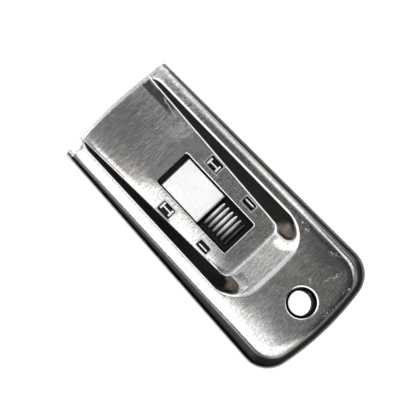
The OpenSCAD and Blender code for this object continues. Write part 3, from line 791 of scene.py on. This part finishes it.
def skin(shell, lines, sink, reach, radius, holes, bore):
    """One face of the sheet. Returns its foot row and its row along the mouth."""
    right = [section(i, lines, sink, reach, radius) for i in range(LAST + 1)]
    rows = []
    for band in range(3):
        made = []
        for n in range(len(right[0][band])):
            points = [bands[band][n] for bands in right]
            marks = (outer_marks(n), {}, recess_marks(n, points))[band]
            # The lip's wear reaches twice as far back on the flanges
            lip = [lip_share(i if band == 2 else i / 2) for i in range(LAST + 1)]
            made.append(shell.row(both_sides(points), lip=lip + lip[-2::-1], **marks))
        rows.append(made)
    outer, level, recess = rows
    shell.strips(*outer)
    shell.strips(*recess)
    flange = [outer[-1], *level, recess[0]]
    whole = len(outer[0])
    first, last = CORNER_LAST, whole - 1 - CORNER_LAST
    shell.strips(*(row[:first + 1] for row in flange))
    shell.strips(*(row[last:] for row in flange))
    # Behind the ramp the flange is filled round the hanging hole
    loop = outer[-1][first:last + 1] + [r[last] for r in level]
    loop += recess[0][first:last + 1][::-1] + [r[first] for r in level[::-1]]
    spread = []
    for n in range(1, REAR_ROWS):
        row = [shell.points[outer[-1][s]].lerp(shell.points[recess[0][s]], n / REAR_ROWS)
               for s in range(first + 2, last - 1, 2)]
        spread += [skin_point(p, sink) for p in row
                   if math.hypot(p.x, p.y - HOLE_Y) > COLLAR_RADIUS + COLLAR_MARGIN]
    shell.area(loop, [bore], shell.row(spread))

    panel = []
    for i in range(RUNOUT_LAST + 1):
        half = abs(shell.points[recess[-1][i]].x)
        base = station(lines[3], i, False)
        columns = [half * (1 - 2 * j / PANEL_COLUMNS) for j in range(1, PANEL_COLUMNS)]
        across = [rolled(panel_point(x, base.y, sink), i, radius, sink) for x in columns]
        panel.append([recess[-1][i], *shell.row(across, lip=lip_share(i)), recess[-1][whole - 1 - i]])
    shell.strips(*panel)
    edge = recess[-1][RUNOUT_LAST:whole - RUNOUT_LAST]
    # Behind the run-out the panel's points lie in rows across, the last of them between its rear corners
    rows_y = [shell.points[recess[-1][i]].y for i in range(RUNOUT_LAST + 1, SIDE_LAST)]
    rows_y += [PANEL_CORNER_Y - off for off in CORNER_ROWS]
    inside = []
    for y in rows_y:
        half = lines[3].half(max(y, PANEL_CORNER_Y)) - reach[2] - max(0, PANEL_CORNER_Y - y) * 0.5
        offsets = [SIDE_SPACING * n for n in range(1, SIDE_COLUMNS)]
        offsets += [-FOLD_SPACING] if y > PANEL_CORNER_Y else []
        middle = half - SIDE_SPACING * SIDE_COLUMNS
        columns = round(middle / MIDDLE_SPACING)
        offsets += [SIDE_SPACING * SIDE_COLUMNS + middle * n / columns for n in range(columns + 1)]
        for x in sorted({round(side * (half - off), 6) for off in offsets for side in (-1, 1)}):
            if clear_of_holes(x, y):
                inside.append(panel_point(x, y, sink))
    shell.area(edge + panel[-1][1:-1][::-1], holes, shell.row(inside))
    whole_section = [*outer, *level, *recess]
    mouth = [r[0] for r in whole_section] + panel[0][1:-1] + [r[-1] for r in reversed(whole_section)]
    return outer[0], mouth


def front_shell():
    """The holes' rims and the collar, and the upper and lower skin, which meet at the foot and the mouth."""
    shell = Sheet()
    top_holes, under_holes = [], []
    slots = [(side * x, *rest) for x, *rest in SLOTS for side in (-1, 1)]
    for hole in (WINDOW, *slots):
        edge = WINDOW_EDGE if hole is WINDOW else SLOT_EDGE
        rims = [shell.row(hole_loop(*hole, edge + 0.05, 0))]
        for off, down in rounding(edge):
            rims.append(shell.row(hole_loop(*hole, off, down), bend=1 - down / edge))
        rims.append(shell.row(hole_loop(*hole, 0, SHELL_SHEET)))
        shell.strips(*rims, closed=True)
        top_holes.append(rims[0])
        under_holes.append(rims[-1])

    # The hole's mouth rolls over from the flange into the bore, and the collar stands on the back plate
    centre = (0, HOLE_Y)
    roll = math.asin(MOUTH_HEIGHT / MOUTH_BEND)
    rings = [shell.row(ring(centre, HOLE_RADIUS + MOUTH_REACH + 0.25, REAR_HEIGHT)),
             shell.row(ring(centre, HOLE_RADIUS + MOUTH_REACH, REAR_HEIGHT), bend=0.8)]
    for n in range(MOUTH_STEPS + 1):
        t = roll * (1 - n / MOUTH_STEPS)
        marks = {"bend": 1} if n < 2 else {"wall": 1}
        rings.append(shell.row(ring(centre, HOLE_RADIUS + MOUTH_BEND * (1 - math.cos(t)),
                                    REAR_HEIGHT - MOUTH_HEIGHT + MOUTH_BEND * math.sin(t)), **marks))
    rings += [shell.row(ring(centre, HOLE_RADIUS, PLATE_SHEET), wall=1),
              shell.row(ring(centre, COLLAR_RADIUS, PLATE_SHEET)),
              shell.row(ring(centre, COLLAR_RADIUS, REAR_HEIGHT - SHELL_SHEET))]
    shell.strips(*rings, closed=True)

    # The lower skin lies a sheet's thickness inside the upper one, so its bends lie further in or out
    half_bend = SHELL_SHEET * math.tan(WALL_SLOPE / 2)
    outer_lines = (FOOT_LINE, TOP_LINE, RECESS_LINE, FLOOR_LINE)
    inner_lines = (FOOT_LINE.inset(INNER_FOOT), TOP_LINE.inset(INNER_TOP),
                   RECESS_LINE.inset(-half_bend), FLOOR_LINE.inset(-half_bend))
    foot, mouth = skin(shell, outer_lines, 0, OUTER_REACH, LIP_RADIUS, top_holes, rings[0])
    under_foot, under_mouth = skin(shell, inner_lines, SHELL_SHEET, INNER_REACH, LIP_RADIUS - SHELL_SHEET,
                                   under_holes, rings[-1])
    shell.strips(foot, under_foot)
    shell.strips(mouth, under_mouth)
    return shell


def scuffs():
    """Hairline scratches across the brushing, small nicks, flecks, ragged clouds and scribbled loops."""
    sizes = {"Scratch Width": 0.02, "Nick Size": 0.12, "Scribble Width": 0.11}
    group, given, result = new_group("scuffs", sizes, ("Scratches", "Nicks", "Flecks", "Clouds", "Scribbles"))
    place = add(group, "ShaderNodeTexCoord").outputs["Object"]

    def thin_lines(field, width, core):
        """Lines where a noise passes its middle value."""
        return step(group, maths(group, "ABSOLUTE", maths(group, "SUBTRACT", field, 0.5)), width, core)

    hairs = []
    for angle, length in ((0.5, 0.02), (-1.1, 0.03)):
        turned = add(group, "ShaderNodeMapping", {"Vector": place, "Rotation": (0, 0, angle),
                                                  "Scale": (length, 0.0012, 0.0012)}, vector_type="TEXTURE")
        hairs.append(thin_lines(noise(group, turned.outputs[0], 1, 1), given["Scratch Width"], 0))
    cells = add(group, "ShaderNodeTexVoronoi", {"Vector": place, "Scale": 650})
    chance = add(group, "ShaderNodeSeparateColor", {0: cells.outputs["Color"]}).outputs[0]
    feed(group, result, {
        "Scratches": all_of(group, any_of(group, *hairs),
                            step(group, noise(group, place, 220, 2), 0.52, 0.66)),
        "Nicks": all_of(group, step(group, cells.outputs["Distance"], given["Nick Size"], 0.02),
                        maths(group, "GREATER_THAN", chance, 0.8)),
        "Flecks": step(group, noise(group, place, 2600, 1), 0.6, 0.65),
        "Clouds": noise(group, place, 800, 6, 0.7),
        "Scribbles": thin_lines(noise(group, place, 700, 1.5), given["Scribble Width"], 0.01),
    })
    return group


def patch(tree, x, y, half_x, half_y, turn=0):
    """A soft oval mask on the shell, in mm, turned by some degrees."""
    place = add(tree, "ShaderNodeTexCoord").outputs["Object"]
    moved = add(tree, "ShaderNodeVectorMath", {0: place, 1: (x * MM, y * MM, 0)}, operation="SUBTRACT")
    turned = add(tree, "ShaderNodeVectorRotate", {"Vector": moved.outputs[0], "Angle": math.radians(-turn)},
                 rotation_type="Z_AXIS")
    shares = (1 / half_x / MM, 1 / half_y / MM, 0)
    sized = add(tree, "ShaderNodeVectorMath", {0: turned.outputs[0], 1: shares}, operation="MULTIPLY")
    off = add(tree, "ShaderNodeVectorMath", {0: sized.outputs[0]}, operation="LENGTH").outputs["Value"]
    return step(tree, off, 1, 0.2)


def patches(tree, ovals):
    return any_of(tree, *(patch(tree, *oval) for oval in ovals))


def strip_of(tree, value, start, full, fading, end):
    """A soft strip that is 1 between full and fading, and 0 before its start and past its end."""
    return all_of(tree, step(tree, value, start, full), step(tree, value, end, fading))


# Ovals on the shell: middle X and Y, half lengths along X and Y, and turn in degrees
RUBBED_PANEL = (10.2, 28.3, 5.5, 4, -20)
RUBBED_FLANGE = ((18.3, 37, 2.6, 16), (19, 28, 2, 4))
SPECKED = ((12.4, -38.4, 5, 0.9, -17), (13, -44.7, 2.8, 0.8, -9), (5, -45.6, 5, 0.8), (6.5, -34.1, 1.6, 1.2),
           (17.8, -20.5, 1.1, 5, -20), (18, -33, 1.6, 2.4))
DARKER_OVALS = ((18, -30, 8, 19), (-4, 44, 17, 17), (18.6, 18, 3.4, 40))
# Where a brown highlight is painted at the pockets' turn
HIGHLIGHT_OVALS = ((13.2, -17.3, 2.6, 1.2, 20), (-13.2, -17.5, 2.6, 1.2, -20))
# Where the torn line and the darker strip start, are full, fade and end. The line leans through one point
TORN_SPAN = (31.6, 32.4, 39, 40)
TORN_AT = (13.3, 39.7)
TORN_LEAN = 0.19
STRIP_ACROSS = (10.9, 11.4, 14.4, 14.8)
STRIP_ALONG = (32.5, 37, 48, 48.6)
# The pockets' painted shade, and the brown of the painted highlight at their turn
POCKET_SHADE = (0.06, 0.052, 0.045, 1)
BROWN_HIGHLIGHT = (0.22, 0.17, 0.13, 1)
WARM_TINT = (1.01, 0.98, 0.94, 1)

shell_steel, tree, shader, tone, rough, grain = steel(
    "shell_steel", (0.66, 0.655, 0.645), 0.19, across=2500, along=320, lines=1.3, mottle=1.1, patchy=0.04,
    bump=0.05, anisotropic=1.0)
place = place_on(tree)
scuff = add(tree, "ShaderNodeGroup", node_tree=scuffs()).outputs
wall, bent, turn, pocket, lip, ridge = (
    add(tree, "ShaderNodeAttribute", attribute_name=mark).outputs["Fac"]
    for mark in ("wall", "bend", "turn", "pocket", "lip", "ridge"))
# The drawn wall's painted shade reaches round its upper bend on the left
turn = all_of(tree, turn, step(tree, place["Y"], -34, -16), step(tree, place["X"], 0, -10))
wall = any_of(tree, wall, maths(tree, "MULTIPLY", turn, 0.7))
# Handling has rubbed the panel's right edge in a smear and the right flange in scribbles
panel_rub = maths(tree, "MULTIPLY", patch(tree, *RUBBED_PANEL), 0.9)
flange_rub = patches(tree, RUBBED_FLANGE)
clouds = maths(tree, "MULTIPLY_ADD", step(tree, scuff["Clouds"], 0.46, 0.58), 0.7, 0.2)
smears = any_of(tree, all_of(tree, panel_rub, clouds), all_of(tree, flange_rub, scuff["Scribbles"]))
rubbed = maths(tree, "MULTIPLY_ADD", any_of(tree, panel_rub, flange_rub), 0.8, 0.2)
scratched = all_of(tree, any_of(tree, scuff["Scratches"], scuff["Nicks"]), rubbed)
# A torn line along the panel's right edge
ragged = maths(tree, "SUBTRACT", scuff["Clouds"], 0.5)
off_line = maths(tree, "MULTIPLY_ADD", place["Y"], -TORN_LEAN, place["X"])
shift = maths(tree, "MULTIPLY_ADD", ragged, 2.5, TORN_LEAN * TORN_AT[1] - TORN_AT[0])
off_line = maths(tree, "ABSOLUTE", maths(tree, "ADD", off_line, shift))
torn = all_of(tree, step(tree, off_line, 0.32, 0.14), strip_of(tree, place["Y"], *TORN_SPAN))
# The punched slots' edges are scraped bright
frames = []
for x, y, width, length, _ in SLOTS:
    across = maths(tree, "SUBTRACT", maths(tree, "ABSOLUTE", place["X"]), x)
    along = maths(tree, "SUBTRACT", place["Y"], y)
    past = any_of(tree, maths(tree, "SUBTRACT", maths(tree, "ABSOLUTE", across), width / 2),
                  maths(tree, "SUBTRACT", maths(tree, "ABSOLUTE", along), length / 2))
    frames.append(step(tree, past, 0.6, 0.4))
# Marks and specks stay off the painted shade on the walls and in the pockets
unshaded = maths(tree, "SUBTRACT", 1, any_of(tree, wall, pocket), clamp=True)
marked = all_of(tree, any_of(tree, scratched, smears, torn, ridge, *frames), unshaded)
# Chains of dried paint specks where it was dropped or dragged
specked = maths(tree, "MULTIPLY", patches(tree, SPECKED), 1.4, clamp=True)
specks = all_of(tree, specked, scuff["Flecks"], unshaded)
# Warm and cool patches, three darker ovals and a darker strip by the lip's right end
tint = blend(tree, step(tree, grain.outputs["Blotches"], 0.45, 0.65), grey(1), WARM_TINT)
tone = add(tree, "ShaderNodeVectorMath", {0: tone, 1: tint}, operation="MULTIPLY").outputs[0]
tone = blend(tree, maths(tree, "MULTIPLY", patches(tree, DARKER_OVALS), 0.55), tone, grey(0.25))
dark_strip = all_of(tree, strip_of(tree, place["X"], *STRIP_ACROSS), strip_of(tree, place["Y"], *STRIP_ALONG))
tone = blend(tree, maths(tree, "MULTIPLY", dark_strip, 0.95), tone, grey(0.15))
# Painted shade in the pockets, with a painted brown highlight at their turn, and painted shade on the drawn
# walls
tone = blend(tree, maths(tree, "MULTIPLY", pocket, 0.9), tone, POCKET_SHADE)
tone = blend(tree, all_of(tree, patches(tree, HIGHLIGHT_OVALS), pocket), tone, BROWN_HIGHLIGHT)
# The drawn walls are painted nearly black as shade
tone = blend(tree, wall, tone, grey(0.012))
# The lip is worn bright up to a ragged line that lies further back on the right
leaning = maths(tree, "MULTIPLY_ADD", place["X"], 0.015, maths(tree, "MULTIPLY", ragged, 1.2))
worn = step(tree, maths(tree, "ADD", lip, leaning), 0.3, 0.45)
bent = any_of(tree, bent, all_of(tree, worn, step(tree, lip, 0.01, 0.1)))
tone = blend(tree, bent, tone, grey(0.95))
tone = blend(tree, any_of(tree, marked, specks), tone, grey(0.9))
for mark, roughening in ((bent, 0.08), (marked, 0.3), (ridge, 0.3), (pocket, 0.15)):
    rough = maths(tree, "MULTIPLY_ADD", mark, roughening, rough)
rough = maths(tree, "MULTIPLY_ADD", wall, 0.5, rough, clamp=True)
feed(tree, shader, {"Base Color": tone, "Roughness": rough, "Metallic": maths(tree, "SUBTRACT", 1, specks)})
shell = make_piece("front_shell_sheet", front_shell(), shell_steel)
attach(shell, "housing")
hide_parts("front_shell")


# Blade carriage
# The T-shaped sheet that runs between the rails and carries the blade on its platform.
# It is blanked from rolled steel, painted near black as shade since it lies under the shell, and its lips and
# lugs are bent up.

# The near-black colour is painted shade
carriage_steel, *_ = steel("carriage_steel", (0.02, 0.02, 0.02), 0.6, across=4000, lines=0.2)
carriage = softened_copy("blade_carriage", carriage_steel, radius=0.1)
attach(carriage, "slide")


# Razor blade and its spine
# A standard single-edge blade of hardened steel with a ground edge.
# A plain steel strip is folded over its back to stiffen it.

blade_steel, *_ = steel("blade_steel", (0.5, 0.5, 0.51), 0.28, across=9000, along=120, lines=0.15)
blade = softened_copy("razor_blade", blade_steel, radius=0.02)
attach(blade, "slide")

spine_steel, *_ = steel("spine_steel", (0.5, 0.5, 0.5), 0.36, across=300, along=3000, lines=0.2)
spine = softened_copy("blade_spine", spine_steel, radius=0.08)
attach(spine, "slide")


# Detent spring and rivet
# A leaf of dull spring steel whose rounded foot clicks into the back plate's dimples.
# One domed rivet holds it to the carriage's tail.

spring_steel, *_ = steel("spring_steel", (0.32, 0.32, 0.34), 0.42, across=2500, lines=0.2)
spring = softened_copy("detent_spring", spring_steel, radius=0.05)
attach(spring, "slide")

rivet_steel, *_ = steel("rivet_steel", (0.66, 0.66, 0.66), 0.35, across=4000, lines=0.15)
rivet = softened_copy("spring_rivet", rivet_steel, radius=0.05)
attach(rivet, "slide")


# Thumb slide
# A bent strip of satin plated steel, staked to the carriage. A flat pad fills the front of the window,
# and behind a step the thumb rests on six pressed ribs.

THUMB_SHEET = 0.6
THUMB_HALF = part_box("thumb_slide")[1].x / MM
PAD_TOP = 2.8
PAD_FRONT_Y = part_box("thumb_slide")[1].y / MM
STEP_TOP_Y = 3.9
STEP_FOOT_Y = 2.6
REST_TOP = 1.7
THUMB_REAR_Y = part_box("thumb_slide")[0].y / MM
CARRIAGE_TOP = 1.1
RIB_COUNT = 6
RIB_PITCH = 1.85
RIB_FIRST_Y = THUMB_REAR_Y + 1.7
RIB_HALF_LENGTH = 5.2
RIB_RISE = 0.85
RIB_SINK = 0.15
SIDE_ROUND = 0.2
THUMB_BEND = 0.3
# The painted shade between the ribs
RIB_SHADE = (0.02, 0.018, 0.016, 1)
RIB_POLISH = 0.15


def thumb_strip():
    """The strip's middle line is bent round its corners, thickened both ways and drawn across."""
    half = THUMB_SHEET / 2
    corners = [(PAD_FRONT_Y - half, CARRIAGE_TOP), (PAD_FRONT_Y - half, PAD_TOP - half),
               (STEP_TOP_Y, PAD_TOP - half), (STEP_FOOT_Y, REST_TOP - half), (THUMB_REAR_Y, REST_TOP - half)]
    corners = [Vector((0, y, z)) for y, z in corners]
    middle = [corners[0]]
    for a, b, c in zip(corners, corners[1:], corners[2:]):
        middle += bend(a, b, c, THUMB_BEND)
    middle.append(corners[-1])
    normals = []
    for n in range(len(middle)):
        along = middle[min(n + 1, len(middle) - 1)] - middle[max(n - 1, 0)]
        normals.append(Vector((0, along.z, -along.y)).normalized())
    strip = Sheet()
    columns = [(THUMB_HALF - inward, half - down) for down, inward in rounding(SIDE_ROUND, 4)]
    columns += [(-x, depth) for x, depth in reversed(columns)]
    loops = []
    for x, depth in columns:
        upper = [p + v * depth + Vector((x, 0, 0)) for p, v in zip(middle, normals)]
        lower = [p - v * depth + Vector((x, 0, 0)) for p, v in zip(middle, normals)]
        loops.append(strip.row(upper + lower[::-1]))
    strip.strips(*loops, closed=True)
    count = len(middle)
    for loop in (loops[0], loops[-1]):
        strip.strips(loop[:count], loop[:count - 1:-1])
    return strip


def rib_tree(material):
    """Geometry nodes that lay a row of spindles across the strip and join them to it."""
    tree = bpy.data.node_groups.new("thumb_ribs", "GeometryNodeTree")
    tree.interface.new_socket("Strip", in_out="INPUT", socket_type="NodeSocketGeometry")
    tree.interface.new_socket("Count", in_out="INPUT", socket_type="NodeSocketInt")
    for label in ("Pitch", "First", "Level", "Half Length", "Rise"):
        tree.interface.new_socket(label, in_out="INPUT", socket_type="NodeSocketFloat")
    tree.interface.new_socket("Ribbed", in_out="OUTPUT", socket_type="NodeSocketGeometry")
    given = tree.nodes.new("NodeGroupInput").outputs
    start = add(tree, "ShaderNodeCombineXYZ", {1: given["First"], 2: given["Level"]})
    offset = add(tree, "ShaderNodeCombineXYZ", {1: given["Pitch"]})
    places = add(tree, "GeometryNodeMeshLine", {"Count": given["Count"], "Start Location": start.outputs[0],
                                                "Offset": offset.outputs[0]})
    left = add(tree, "ShaderNodeCombineXYZ", {0: maths(tree, "MULTIPLY", given["Half Length"], -1)})
    right = add(tree, "ShaderNodeCombineXYZ", {0: given["Half Length"]})
    axis = add(tree, "GeometryNodeCurvePrimitiveLine", {"Start": left.outputs[0], "End": right.outputs[0]})
    axis = add(tree, "GeometryNodeResampleCurve", {"Curve": axis.outputs[0], "Count": 41})
    part = add(tree, "GeometryNodeSplineParameter").outputs["Factor"]
    # Full along most of its length, and rounded off at both ends
    off = maths(tree, "MULTIPLY_ADD", part, 2, -1)
    swell = maths(tree, "SUBTRACT", 1, maths(tree, "POWER", maths(tree, "ABSOLUTE", off), 6))
    swell = maths(tree, "MULTIPLY", maths(tree, "POWER", swell, 0.6), given["Rise"])
    swelled = add(tree, "GeometryNodeSetCurveRadius", {"Curve": axis.outputs[0], "Radius": swell})
    round_section = add(tree, "GeometryNodeCurvePrimitiveCircle", {"Resolution": 32, "Radius": 1})
    spindle = add(tree, "GeometryNodeCurveToMesh", {"Curve": swelled.outputs[0],
                                                    "Profile Curve": round_section.outputs[0],
                                                    "Scale": swell})
    closed = add(tree, "GeometryNodeMergeByDistance", {"Geometry": spindle.outputs[0], "Distance": 1e-6})
    row = add(tree, "GeometryNodeInstanceOnPoints", {"Points": places.outputs[0],
                                                     "Instance": closed.outputs[0]})
    joined = tree.nodes.new("GeometryNodeJoinGeometry")
    tree.links.new(given["Strip"], joined.inputs[0])
    tree.links.new(row.outputs[0], joined.inputs[0])
    real = add(tree, "GeometryNodeRealizeInstances", {0: joined.outputs[0]})
    dressed = add(tree, "GeometryNodeSetMaterial", {"Geometry": real.outputs[0], "Material": material})
    add(tree, "NodeGroupOutput", {0: dressed.outputs[0]})
    return tree


slide_steel, tree, shader, tone, rough, _ = steel("slide_steel", (0.9, 0.9, 0.9), 0.48, across=2600,
                                                  along=1300, bump=0.05)
place = place_on(tree)
# Painted shade lies between the ribs, more of it to the left and the rear, and on the step behind the pad
raised = step(tree, place["Z"], REST_TOP + 0.2, REST_TOP + 0.6)
less_shaded = all_of(tree, step(tree, place["X"], -5, 1), step(tree, place["Y"], -8, -3))
on_pad = step(tree, place["Y"], STEP_TOP_Y - 0.6, STEP_TOP_Y - 0.3)
on_step = strip_of(tree, place["Y"], STEP_FOOT_Y - 0.2, STEP_FOOT_Y, STEP_TOP_Y - 0.6, STEP_TOP_Y - 0.3)
out_of_shade = all_of(tree, raised, any_of(tree, on_pad, less_shaded), maths(tree, "SUBTRACT", 1, on_step))
# The thumb has rubbed the ribs smoother than the pad
smooth = maths(tree, "SUBTRACT", rough, RIB_POLISH)
feed(tree, shader, {"Base Color": blend(tree, out_of_shade, RIB_SHADE, tone),
                    "Roughness": maths(tree, "MULTIPLY_ADD", on_pad, RIB_POLISH, smooth)})
thumb = make_piece("ribbed_thumb_slide", thumb_strip(), slide_steel)
thumb.modifiers.clear()
ribs = thumb.modifiers.new("ribs", "NODES")
ribs.node_group = rib_tree(slide_steel)
rib_sizes = {"Count": RIB_COUNT, "Pitch": RIB_PITCH * MM, "First": RIB_FIRST_Y * MM,
             "Level": (REST_TOP - RIB_SINK) * MM, "Half Length": RIB_HALF_LENGTH * MM, "Rise": RIB_RISE * MM}
for socket in ribs.node_group.interface.items_tree:
    if socket.name in rib_sizes:
        ribs[socket.identifier] = rib_sizes[socket.name]
graph = bpy.context.evaluated_depsgraph_get()
ribbed = bpy.data.meshes.new_from_object(thumb.evaluated_get(graph))
thumb.modifiers.clear()
thumb.data = ribbed
weigh_normals(thumb)
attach(thumb, "slide")
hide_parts("thumb_slide")


# Studio
# A plain white table under soft lamps in a dim room: a broad softbox hangs over the left side,
# others stand to the right and in front, and the camera looks almost straight down.

FLOOR_HALF = 3
floor_mesh = bpy.data.meshes.new("floor")
corners = [(x * FLOOR_HALF, y * FLOOR_HALF, 0) for x, y in ((-1, -1), (1, -1), (1, 1), (-1, 1))]
floor_mesh.from_pydata(corners, [], [(0, 1, 2, 3)])
floor = placed("floor", floor_mesh)
floor_white = bpy.data.materials.new("floor_white")
floor_white.use_nodes = True
tree = floor_white.node_tree
tree.nodes.clear()
path = add(tree, "ShaderNodeLightPath").outputs
seen = any_of(tree, path["Is Camera Ray"], path["Is Glossy Ray"], path["Is Transmission Ray"])
paint = add(tree, "ShaderNodeBsdfDiffuse", {"Color": grey(0.85)})
glow = add(tree, "ShaderNodeEmission", {"Color": grey(1), "Strength": maths(tree, "MULTIPLY", seen, 0.8)})
both = add(tree, "ShaderNodeAddShader", {0: paint.outputs[0], 1: glow.outputs[0]})
add(tree, "ShaderNodeOutputMaterial", {"Surface": both.outputs[0]})
floor_mesh.materials.append(floor_white)


def softbox(name, place, width, length, radiance, target=(0, 0, 0)):
    """A soft lamp that faces its target. Its power follows from how bright its face should look."""
    lamp = bpy.data.lights.new(name, "AREA")
    lamp.shape = "RECTANGLE"
    lamp.size, lamp.size_y = width, length
    lamp.energy = radiance * math.pi * width * length
    made = placed(name, lamp)
    made.location = place
    made.rotation_euler = (Vector(target) - Vector(place)).to_track_quat("-Z", "Y").to_euler()


softbox("left_softbox", (-0.1388, -0.05, 0.2), 0.284, 0.44, 1.55, target=(-0.1388, -0.05, 0))
softbox("right_strip", (0.34, 0.05, 0.42), 0.56, 0.3, 1.8)
softbox("top_strip", (0.02, 0.22, 0.42), 0.3, 0.08, 2.4)
softbox("front_fill", (0.07, 0.55, 0.42), 0.26, 0.2, 0.64)
softbox("front_left", (-0.13, 0.55, 0.42), 0.14, 0.2, 2.1)
softbox("front_right", (0.32, 0.5, 0.4), 0.22, 0.2, 0.4)

world = bpy.data.worlds.new("dim_room")
bpy.context.scene.world = world
world.use_nodes = True
tree = world.node_tree
tree.nodes.clear()
# A grey ceiling overhead and to the left, and a pale cove low in front
way = add(tree, "ShaderNodeSeparateXYZ", {0: add(tree, "ShaderNodeTexCoord").outputs["Generated"]}).outputs
ceiling = all_of(tree, step(tree, way["Z"], 0.6, 0.95), step(tree, way["X"], 0.22, 0.02),
                 step(tree, way["Y"], -0.45, -0.05))
cove = all_of(tree, step(tree, way["Z"], 0.55, 0.25), step(tree, way["Y"], 0.35, 0.75),
              step(tree, way["X"], 0.34, 0.24))
colour = blend(tree, cove, blend(tree, ceiling, grey(0.03), grey(0.31)), grey(0.85))
room = add(tree, "ShaderNodeBackground", {"Color": colour})
add(tree, "ShaderNodeOutputWorld", {"Surface": room.outputs[0]})

LENS = 200
SENSOR = 36
FRAME_WIDTH = 0.1272
LEAN = math.atan(0.112)
ROLL = math.radians(46.57)
LOOK_AT = Vector((-0.0003, 0.00805, 0.001))
camera_data = bpy.data.cameras.new("camera")
camera_data.lens = LENS
camera_data.sensor_width = SENSOR
camera = placed("camera", camera_data)
back = Vector((-math.sin(LEAN), 0, math.cos(LEAN)))
upward = Vector((math.cos(ROLL), math.sin(ROLL), 0))
rightward = upward.cross(back).normalized()
turned = Matrix((rightward, back.cross(rightward), back)).transposed()
camera.matrix_world = Matrix.Translation(LOOK_AT + back * FRAME_WIDTH * LENS / SENSOR) @ turned.to_4x4()
bpy.context.scene.camera = camera
bpy.context.scene.view_settings.view_transform = "Standard"
